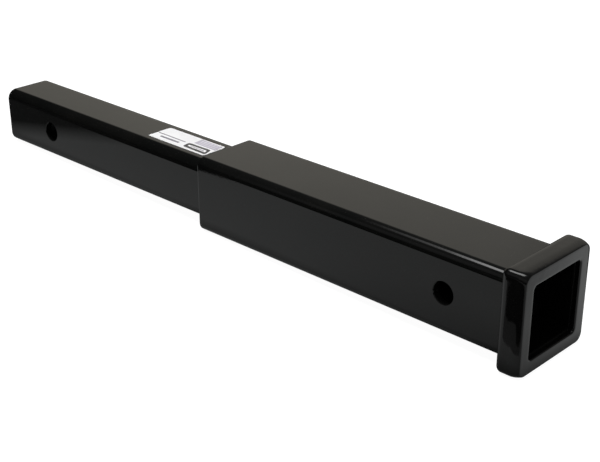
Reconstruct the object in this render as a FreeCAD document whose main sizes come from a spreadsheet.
import FreeCAD, Part
import math
import os
import Sketcher
from FreeCAD import Vector

# Hitch receiver extender: a long square shank that slides into a vehicle's receiver, welded into
# a larger square tube whose collared mouth takes the next shank.
# The origin is the middle of the shank's pin hole. +X runs to the mouth, +Z is up, and both pin
# holes run along Y.

SIZES = {
    # Shank: 2 in class square tube
    "shank_size": 50.0,
    "shank_wall": 6.0,
    "shank_inside_corner": 2.8,
    "shank_end_to_pin": 66.675,
    "shank_overlap": 131.0,
    "shank_end_break": 0.8,
    "seam_radius": 1.6,
    "seam_height": 0.8,
    # Receiver tube: 2 1/2 in square tube whose socket clears the shank
    "socket_gap": 0.8,
    "socket_corner": 3.0,
    "receiver_wall": 5.95,
    "receiver_corner": 7.2,
    "receiver_length": 317.5,
    "receiver_end_break": 0.6,
    # Pin holes for a 5/8 in hitch pin, 18 in apart
    "pin_span": 457.2,
    "pin_to_mouth": 69.0,
    "pin_hole": 17.0,
    "pin_hole_break": 0.5,
    # Collar: 3 in class square ring with a lip that closes over the end of the receiver tube
    "collar_seat_gap": 0.15,
    "collar_wall": 6.8,
    "collar_corner": 4.8,
    "collar_length": 19.5,
    "collar_nose": 6.5,
    "collar_nose_radius": 26.0,
    "collar_lip": 4.0,
    "collar_back_round": 4.0,
    "collar_front_break": 0.5,
    "mouth_round": 1.4,
    # Fillet welds
    "shank_weld_leg": 5.0,
    "collar_weld_leg": 2.6,
    "weld_pitch": 4.2,
    "weld_crown": 0.5,
    "weld_lap": 0.84,
    # Blank adhesive label on top of the shank
    "label_length": 70.0,
    "label_width": 25.4,
    "label_corner": 2.5,
    "label_thickness": 0.25,
    "label_to_receiver": 13.5,
}

# Places along X, worked out from the sizes
MOUTH = "(Sizes.pin_span + Sizes.pin_to_mouth)"
RECEIVER_REAR = MOUTH + " - Sizes.receiver_length"
COLLAR_BACK = MOUTH + " - Sizes.collar_length"
SHANK_LENGTH = RECEIVER_REAR + " + Sizes.shank_end_to_pin + Sizes.shank_overlap"

# Outlines that nest in one another, from the shank's hollow out to the collar
SHANK_HOLLOW = "(Sizes.shank_size - 2 * Sizes.shank_wall)"
SHANK_CORNER = "(Sizes.shank_inside_corner + Sizes.shank_wall)"
SOCKET_SIZE = "(Sizes.shank_size + 2 * Sizes.socket_gap)"
RECEIVER_SIZE = "(" + SOCKET_SIZE + " + 2 * Sizes.receiver_wall)"
SEAT_SIZE = "(" + RECEIVER_SIZE + " + 2 * Sizes.collar_seat_gap)"
SEAT_CORNER = "(Sizes.receiver_corner + Sizes.collar_seat_gap)"
COLLAR_SIZE = "(" + SEAT_SIZE + " + 2 * Sizes.collar_wall)"

# Spans between the outlines that the collar's nose is lofted through
NOSE_STEPS = 3

# Flats across the convex face of a weld bead
BEAD_FLATS = 3


def make_sheet(doc):
    """Spreadsheet with one row for each driving size."""
    sheet = doc.addObject("Spreadsheet::Sheet", "Sizes")
    for row, (alias, value) in enumerate(SIZES.items(), start=1):
        sheet.set("A%d" % row, alias)
        sheet.set("B%d" % row, str(value))
        sheet.setAlias("B%d" % row, alias)
    return sheet


def number(item, formula):
    """Number that a formula of the spreadsheet gives."""
    return float(item.evalExpression(formula))


def new_body(doc, name, along_x):
    """Body that starts at the given place along X."""
    body = doc.addObject("PartDesign::Body", name)
    body.Label = name
    body.setExpression("Placement.Base.x", along_x)
    return body


def new_sketch(body, name, role, offset=None):
    """Sketch on one of the body's origin planes, or at an offset from it."""
    plane = next(item for item in body.Origin.OriginFeatures if item.Role == role)
    sketch = body.newObject("Sketcher::SketchObject", name)
    sketch.AttachmentSupport = [(plane, "")]
    sketch.MapMode = "FlatFace"
    if offset:
        sketch.setExpression("AttachmentOffset.Base.z", offset)
    return sketch


def bind(sketch, constraint, name, formula):
    """Dimension that follows a formula of the spreadsheet."""
    sketch.renameConstraint(sketch.addConstraint(constraint), name)
    sketch.setExpression("Constraints." + name, formula)


def add_rounded_rectangle(sketch, name, width, height, corner):
    """Closed rectangle about the sketch's origin, with four equal round corners."""
    across = number(sketch, width)
    up = number(sketch, height)
    radius = number(sketch, corner)
    quarter = math.pi / 2
    arcs = []
    for turn, (right, top) in enumerate(((1, 1), (-1, 1), (-1, -1), (1, -1))):
        centre = Vector(right * (across / 2 - radius), top * (up / 2 - radius), 0)
        circle = Part.Circle(centre, Vector(0, 0, 1), radius)
        arc = Part.ArcOfCircle(circle, turn * quarter, (turn + 1) * quarter)
        arcs.append(sketch.addGeometry(arc))
    sides = []
    for turn in range(4):
        start = sketch.Geometry[arcs[turn]].EndPoint
        end = sketch.Geometry[arcs[(turn + 1) % 4]].StartPoint
        sides.append(sketch.addGeometry(Part.LineSegment(start, end)))
    for turn in range(4):
        direction = "Horizontal" if turn % 2 == 0 else "Vertical"
        sketch.addConstraint(Sketcher.Constraint("Tangent", arcs[turn], 2, sides[turn], 1))
        sketch.addConstraint(Sketcher.Constraint("Tangent", sides[turn], 2, arcs[(turn + 1) % 4], 1))
        sketch.addConstraint(Sketcher.Constraint(direction, sides[turn]))
    for turn in range(1, 4):
        sketch.addConstraint(Sketcher.Constraint("Equal", arcs[0], arcs[turn]))
    sketch.addConstraint(Sketcher.Constraint("Symmetric", arcs[0], 3, arcs[2], 3, -1, 1))
    width_limit = Sketcher.Constraint("DistanceX", sides[1], 1, sides[3], 1, across)
    height_limit = Sketcher.Constraint("DistanceY", sides[2], 1, sides[0], 1, up)
    bind(sketch, width_limit, name + "_width", width)
    bind(sketch, height_limit, name + "_height", height)
    bind(sketch, Sketcher.Constraint("Radius", arcs[0], radius), name + "_corner", corner)


def add_rounded_square(sketch, name, size, corner):
    add_rounded_rectangle(sketch, name, size, size, corner)


def add_circle(sketch, name, diameter, right="0", up="0"):
    """Circle whose centre lies right and up of the sketch's origin."""
    across = number(sketch, right)
    rise = number(sketch, up)
    radius = number(sketch, diameter) / 2
    circle = sketch.addGeometry(Part.Circle(Vector(across, rise, 0), Vector(0, 0, 1), radius))
    bind(sketch, Sketcher.Constraint("Diameter", circle, 2 * radius), name + "_diameter", diameter)
    for kind, name_end, formula, value in (
        ("DistanceX", "_right", right, across),
        ("DistanceY", "_up", up, rise),
    ):
        if formula == "0":
            axis = -2 if kind == "DistanceX" else -1
            sketch.addConstraint(Sketcher.Constraint("PointOnObject", circle, 3, axis))
        else:
            bind(sketch, Sketcher.Constraint(kind, -1, 1, circle, 3, value), name + name_end, formula)


def pad(body, sketch, name, length):
    """Solid grown from a sketch along its normal."""
    feature = body.newObject("PartDesign::Pad", name)
    feature.Profile = sketch
    feature.setExpression("Length", length)
    body.Document.recompute()
    return feature


def loft(body, sketches, name):
    """Smooth solid through a row of outlines."""
    feature = body.newObject("PartDesign::AdditiveLoft", name)
    feature.Profile = sketches[0]
    feature.Sections = sketches[1:]
    body.Document.recompute()
    return feature


def pocket(body, sketch, name, depth=None):
    """Cut along the sketch's normal, through everything where no depth is given."""
    feature = body.newObject("PartDesign::Pocket", name)
    feature.Profile = sketch
    feature.Reversed = True
    if depth:
        feature.setExpression("Length", depth)
    else:
        feature.Type = "ThroughAll"
    body.Document.recompute()
    return feature


def drill_across(body, name, along_x):
    """Pin hole along Y, through both side walls."""
    sketch = new_sketch(body, name + "_outline", "XZ_Plane")
    add_circle(sketch, name, "Sizes.pin_hole", right=along_x)
    feature = body.newObject("PartDesign::Pocket", name)
    feature.Profile = sketch
    feature.Type = "ThroughAll"
    feature.SideType = "Symmetric"
    body.Document.recompute()
    return feature


def edges_where(shape, test):
    """Names of the edges whose points all pass a test."""
    names = []
    for number, edge in enumerate(shape.Edges, start=1):
        if all(test(point) for point in edge.discretize(5)):
            names.append("Edge%d" % number)
    return names


def dress(body, kind, name, size, test):
    """Fillet or chamfer on the edges of the body that pass a test."""
    base = body.Tip
    edges = edges_where(base.Shape, test)
    feature = body.newObject("PartDesign::" + kind, name)
    feature.Base = (base, edges)
    feature.setExpression("Radius" if kind == "Fillet" else "Size", size)
    body.Document.recompute()
    return feature


def near(value, target, tolerance=0.01):
    return abs(value - target) < tolerance


def outside_square(point, half):
    """True for a point that lies on or beyond a square of this half size about the X axis."""
    return max(abs(point.y), abs(point.z)) > half


def break_pin_hole(body, name, place, half):
    """Small chamfer round the outer rims of a pin hole."""
    sheet = body.Document.Sizes
    reach = sheet.pin_hole / 2

    def on_rim(point):
        return near(abs(point.y), half) and near(math.hypot(point.x - place, point.z), reach)

    return dress(body, "Chamfer", name, "Sizes.pin_hole_break", on_rim)


def make_receiver_tube(doc):
    """Square tube from the welded joint to the back of the collar's lip."""
    sheet = doc.Sizes
    body = new_body(doc, "receiver_tube", RECEIVER_REAR)
    walls = new_sketch(body, "receiver_walls", "YZ_Plane")
    add_rounded_square(walls, "outside", RECEIVER_SIZE, "Sizes.receiver_corner")
    add_rounded_square(walls, "socket", SOCKET_SIZE, "Sizes.socket_corner")
    pad(body, walls, "receiver_tube_length", "Sizes.receiver_length - Sizes.collar_lip")
    half = number(body, RECEIVER_SIZE) / 2
    socket_half = number(body, SOCKET_SIZE) / 2

    def on_rear_edge(point):
        return near(point.x, 0) and outside_square(point, socket_half + 0.1)

    dress(body, "Chamfer", "receiver_end_break", "Sizes.receiver_end_break", on_rear_edge)
    drill_across(body, "receiver_pin_hole", "Sizes.receiver_length - Sizes.pin_to_mouth")
    break_pin_hole(body, "receiver_pin_hole_break", sheet.receiver_length - sheet.pin_to_mouth, half)
    return body


def make_shank_tube(doc):
    """Square tube from its open rear end to its inner end inside the socket."""
    sheet = doc.Sizes
    body = new_body(doc, "shank_tube", "-Sizes.shank_end_to_pin")
    walls = new_sketch(body, "shank_walls", "YZ_Plane")
    add_rounded_square(walls, "outside", "Sizes.shank_size", SHANK_CORNER)
    add_rounded_square(walls, "hollow", SHANK_HOLLOW, "Sizes.shank_inside_corner")
    pad(body, walls, "shank_tube_length", SHANK_LENGTH)
    seam = new_sketch(body, "seam_outline", "YZ_Plane")
    sunk = "-(" + SHANK_HOLLOW + " / 2 + Sizes.seam_radius - Sizes.seam_height)"
    add_circle(seam, "seam", "2 * Sizes.seam_radius", up=sunk)
    pad(body, seam, "seam_ridge", SHANK_LENGTH)
    half = sheet.shank_size / 2
    hollow_half = number(body, SHANK_HOLLOW) / 2

    def on_rear_edge(point):
        return near(point.x, 0) and outside_square(point, hollow_half + 0.1)

    dress(body, "Chamfer", "shank_end_break", "Sizes.shank_end_break", on_rear_edge)
    drill_across(body, "shank_pin_hole", "Sizes.shank_end_to_pin")
    break_pin_hole(body, "shank_pin_hole_break", sheet.shank_end_to_pin, half)
    return body


def nose_outlines(body):
    """Outlines of the collar's nose, drawn in along an arc that starts level with the band."""
    outlines = []
    for step in range(NOSE_STEPS + 1):
        ahead = "Sizes.collar_nose * %d / %d" % (step, NOSE_STEPS)
        radius = "Sizes.collar_nose_radius"
        inset = "(%s - sqrt(%s ^ 2 - (%s) ^ 2))" % (radius, radius, ahead)
        place = "Sizes.collar_length - Sizes.collar_nose + " + ahead
        outline = new_sketch(body, "collar_nose_%d" % step, "YZ_Plane", place)
        size = COLLAR_SIZE + " - 2 * " + inset
        add_rounded_square(outline, "nose", size, "Sizes.collar_corner - " + inset)
        outlines.append(outline)
    return outlines


def make_collar(doc):
    """Forged ring: a straight band at the back, a curved nose and a lip over the tube's end."""
    sheet = doc.Sizes
    body = new_body(doc, "collar", COLLAR_BACK)
    band = new_sketch(body, "collar_band_outline", "YZ_Plane")
    add_rounded_square(band, "band", COLLAR_SIZE, "Sizes.collar_corner")
    pad(body, band, "collar_band", "Sizes.collar_length - Sizes.collar_nose")
    loft(body, nose_outlines(body), "collar_nose")
    seat = new_sketch(body, "collar_seat_outline", "YZ_Plane")
    add_rounded_square(seat, "seat", SEAT_SIZE, SEAT_CORNER)
    pocket(body, seat, "collar_seat", "Sizes.collar_length - Sizes.collar_lip")
    mouth = new_sketch(body, "mouth_outline", "YZ_Plane")
    add_rounded_square(mouth, "mouth", SOCKET_SIZE, "Sizes.socket_corner")
    pocket(body, mouth, "mouth")
    seat_half = number(body, SEAT_SIZE) / 2

    def on_back_edge(point):
        return near(point.x, 0) and outside_square(point, seat_half + 0.1)

    def on_front_edge(point):
        return near(point.x, sheet.collar_length) and outside_square(point, seat_half)

    def on_mouth_edge(point):
        return near(point.x, sheet.collar_length) and not outside_square(point, seat_half)

    dress(body, "Fillet", "collar_back_round", "Sizes.collar_back_round", on_back_edge)
    dress(body, "Chamfer", "collar_front_break", "Sizes.collar_front_break", on_front_edge)
    dress(body, "Fillet", "mouth_round", "Sizes.mouth_round", on_mouth_edge)
    return body


def ring_stations(half, corner, pitch):
    """Points and outward directions along a rounded square in the YZ plane, about a pitch apart."""
    straight = 2 * (half - corner)
    quarter = math.pi / 2
    steps_straight = max(2, round(straight / pitch))
    steps_corner = max(2, round(corner * quarter / pitch))
    stations = []
    for turn in range(4):
        facing = turn * quarter
        out = Vector(0, math.cos(facing), math.sin(facing))
        along = Vector(0, -math.sin(facing), math.cos(facing))
        for step in range(steps_straight):
            shift = straight * (step / steps_straight - 0.5)
            stations.append((out * half + along * shift, out))
        centre = (out + along) * (half - corner)
        for step in range(steps_corner):
            angle = facing + quarter * step / steps_corner
            turned = Vector(0, math.cos(angle), math.sin(angle))
            stations.append((centre + turned * corner, turned))
    return stations


def bead_section(station, leg, crown):
    """Corners of a bead's section: a right angle, just inside the tube, and a row of flats."""
    point, out = station
    behind = Vector(-1, 0, 0)
    inner = point - out * crown
    corners = [inner + behind * leg, inner]
    for step in range(BEAD_FLATS + 1):
        share = step / BEAD_FLATS
        bulge = (out + behind) * (4 * crown * share * (1 - share))
        corners.append(point + out * (leg * (1 - share)) + behind * (leg * share) + bulge)
    return corners


def bead_pass(wide, narrow):
    """Solid between two sections of a bead, with flat faces only."""
    faces = []
    for section in (wide, narrow):
        faces.append(Part.Face(Part.makePolygon(section + section[:1])))
    for corner in range(len(wide)):
        for triangle in (
            (wide[corner - 1], wide[corner], narrow[corner]),
            (wide[corner - 1], narrow[corner], narrow[corner - 1]),
        ):
            faces.append(Part.Face(Part.makePolygon(triangle + triangle[:1])))
    return Part.makeSolid(Part.makeShell(faces))


def make_weld(doc, name, tube, along_x, size, corner, leg):
    """Fillet weld all round a square tube, laid in short passes that lap like fish scales."""
    sheet = doc.Sizes
    feature = doc.addObject("Part::Feature", name)
    feature.Label = name
    half = number(feature, size) / 2
    stations = ring_stations(half, number(feature, corner), sheet.weld_pitch)
    reach = number(feature, leg)
    passes = []
    for start, end in zip(stations, stations[1:] + stations[:1]):
        wide = bead_section(start, reach, sheet.weld_crown)
        narrow = bead_section(end, reach * sheet.weld_lap, sheet.weld_crown)
        passes.append(bead_pass(wide, narrow))
    bead = passes[0].fuse(passes[1:])
    place = Vector(number(feature, along_x), 0, 0)
    feature.Shape = bead.cut(tube.Shape.translated(place * -1))
    feature.setExpression("Placement.Base.x", along_x)
    return feature


def make_label(doc):
    """Thin blank label, stuck to the flat top of the shank behind the receiver tube."""
    body = doc.addObject("PartDesign::Body", "label")
    body.Label = "label"
    middle = RECEIVER_REAR + " - Sizes.label_to_receiver - Sizes.label_length / 2"
    body.setExpression("Placement.Base.x", middle)
    body.setExpression("Placement.Base.z", "Sizes.shank_size / 2")
    outline = new_sketch(body, "label_outline", "XY_Plane")
    add_rounded_rectangle(
        outline, "label", "Sizes.label_length", "Sizes.label_width", "Sizes.label_corner")
    pad(body, outline, "label_sheet", "Sizes.label_thickness")
    return body


def check(doc, parts):
    """Stop if any feature failed or any piece isn't one sound solid."""
    for item in doc.Objects:
        if "Invalid" in item.State or "Error" in item.State:
            raise RuntimeError("failed feature: " + item.Name)
    for part in parts:
        shape = part.Shape
        if shape.isNull() or not shape.isValid() or len(shape.Solids) != 1:
            raise RuntimeError("unsound piece: " + part.Label)


def main():
    doc = FreeCAD.newDocument("hitch_receiver_extender")
    make_sheet(doc)
    doc.recompute()
    receiver_tube = make_receiver_tube(doc)
    shank_tube = make_shank_tube(doc)
    parts = [
        receiver_tube,
        shank_tube,
        make_collar(doc),
        make_weld(doc, "shank_weld", shank_tube, RECEIVER_REAR,
                  "Sizes.shank_size", SHANK_CORNER, "Sizes.shank_weld_leg"),
        make_weld(doc, "collar_weld", receiver_tube, COLLAR_BACK,
                  RECEIVER_SIZE, "Sizes.receiver_corner", "Sizes.collar_weld_leg"),
        make_label(doc),
    ]
    doc.recompute()
    check(doc, parts)
    os.makedirs("parts", exist_ok=True)
    for part in parts:
        part.Shape.exportStep("parts/" + part.Label + ".step")
        print("%s: %.1f mm3" % (part.Label, part.Shape.Volume))


main()
